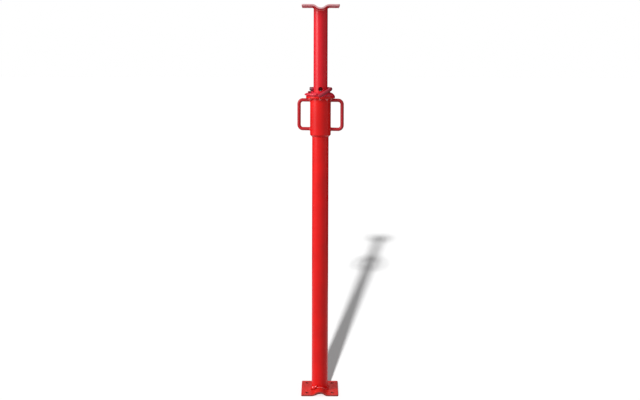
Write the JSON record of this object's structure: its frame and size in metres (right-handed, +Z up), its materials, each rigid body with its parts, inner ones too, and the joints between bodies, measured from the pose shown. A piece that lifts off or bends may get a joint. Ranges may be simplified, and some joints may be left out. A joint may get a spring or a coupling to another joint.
{
  "type": "adjustable steel prop",
  "caption": "Telescopic steel prop with ribbed square end plates, a handled adjusting nut, a flared pin collar and a hooked locking pin through a drilled inner tube.",
  "frame": {"origin": "on the floor under the middle of the base plate, on the prop's axis", "axes": "+Z up along the tubes, +X to the right handle's side, -Y towards the viewer of the picture"},
  "size_m": [0.16, 0.1335, 1.345],
  "materials": {
    "red_paint": "semi-gloss red enamel over mill-rolled steel",
    "bare_steel": "bare rolled steel, lightly oiled"
  },
  "bodies": {
    "base": {"base_plate": "red_paint", "base_weld": "red_paint", "outer_tube": "red_paint", "guide_bush": "bare_steel"},
    "collar": {"pin_collar": "red_paint"},
    "nut": {"adjusting_nut": "red_paint", "nut_flange": "red_paint", "flange_weld": "red_paint", "handle_left": "red_paint", "weld_left_upper": "red_paint", "weld_left_lower": "red_paint", "handle_right": "red_paint", "weld_right_upper": "red_paint", "weld_right_lower": "red_paint"},
    "inner": {"inner_tube": "red_paint", "head_plate": "red_paint", "head_weld": "red_paint", "stop_band": "bare_steel"},
    "pin": {"locking_pin": "red_paint"}
  },
  "joints": [
    {"name": "collar_lift", "type": "slide", "parent": "base", "child": "collar", "axis": [0, 0, 1], "range_m": [0, 0.075]},
    {"name": "nut_turn", "type": "hinge", "parent": "collar", "child": "nut", "pos_m": [0, 0, 0.965], "axis": [0, 0, 1], "range_deg": [0, 4501]},
    {"name": "inner_slide", "type": "slide", "parent": "collar", "child": "inner", "axis": [0, 0, 1], "range_m": [0, 0.7]},
    {"name": "pin_pull", "type": "slide", "parent": "inner", "child": "pin", "axis": [1, 0, 0], "range_m": [0, 0.09]}
  ],
  "couplings": [
    {"joint": "nut_turn", "follows": "collar_lift", "rad_per_m": 1047.2}
  ]
}
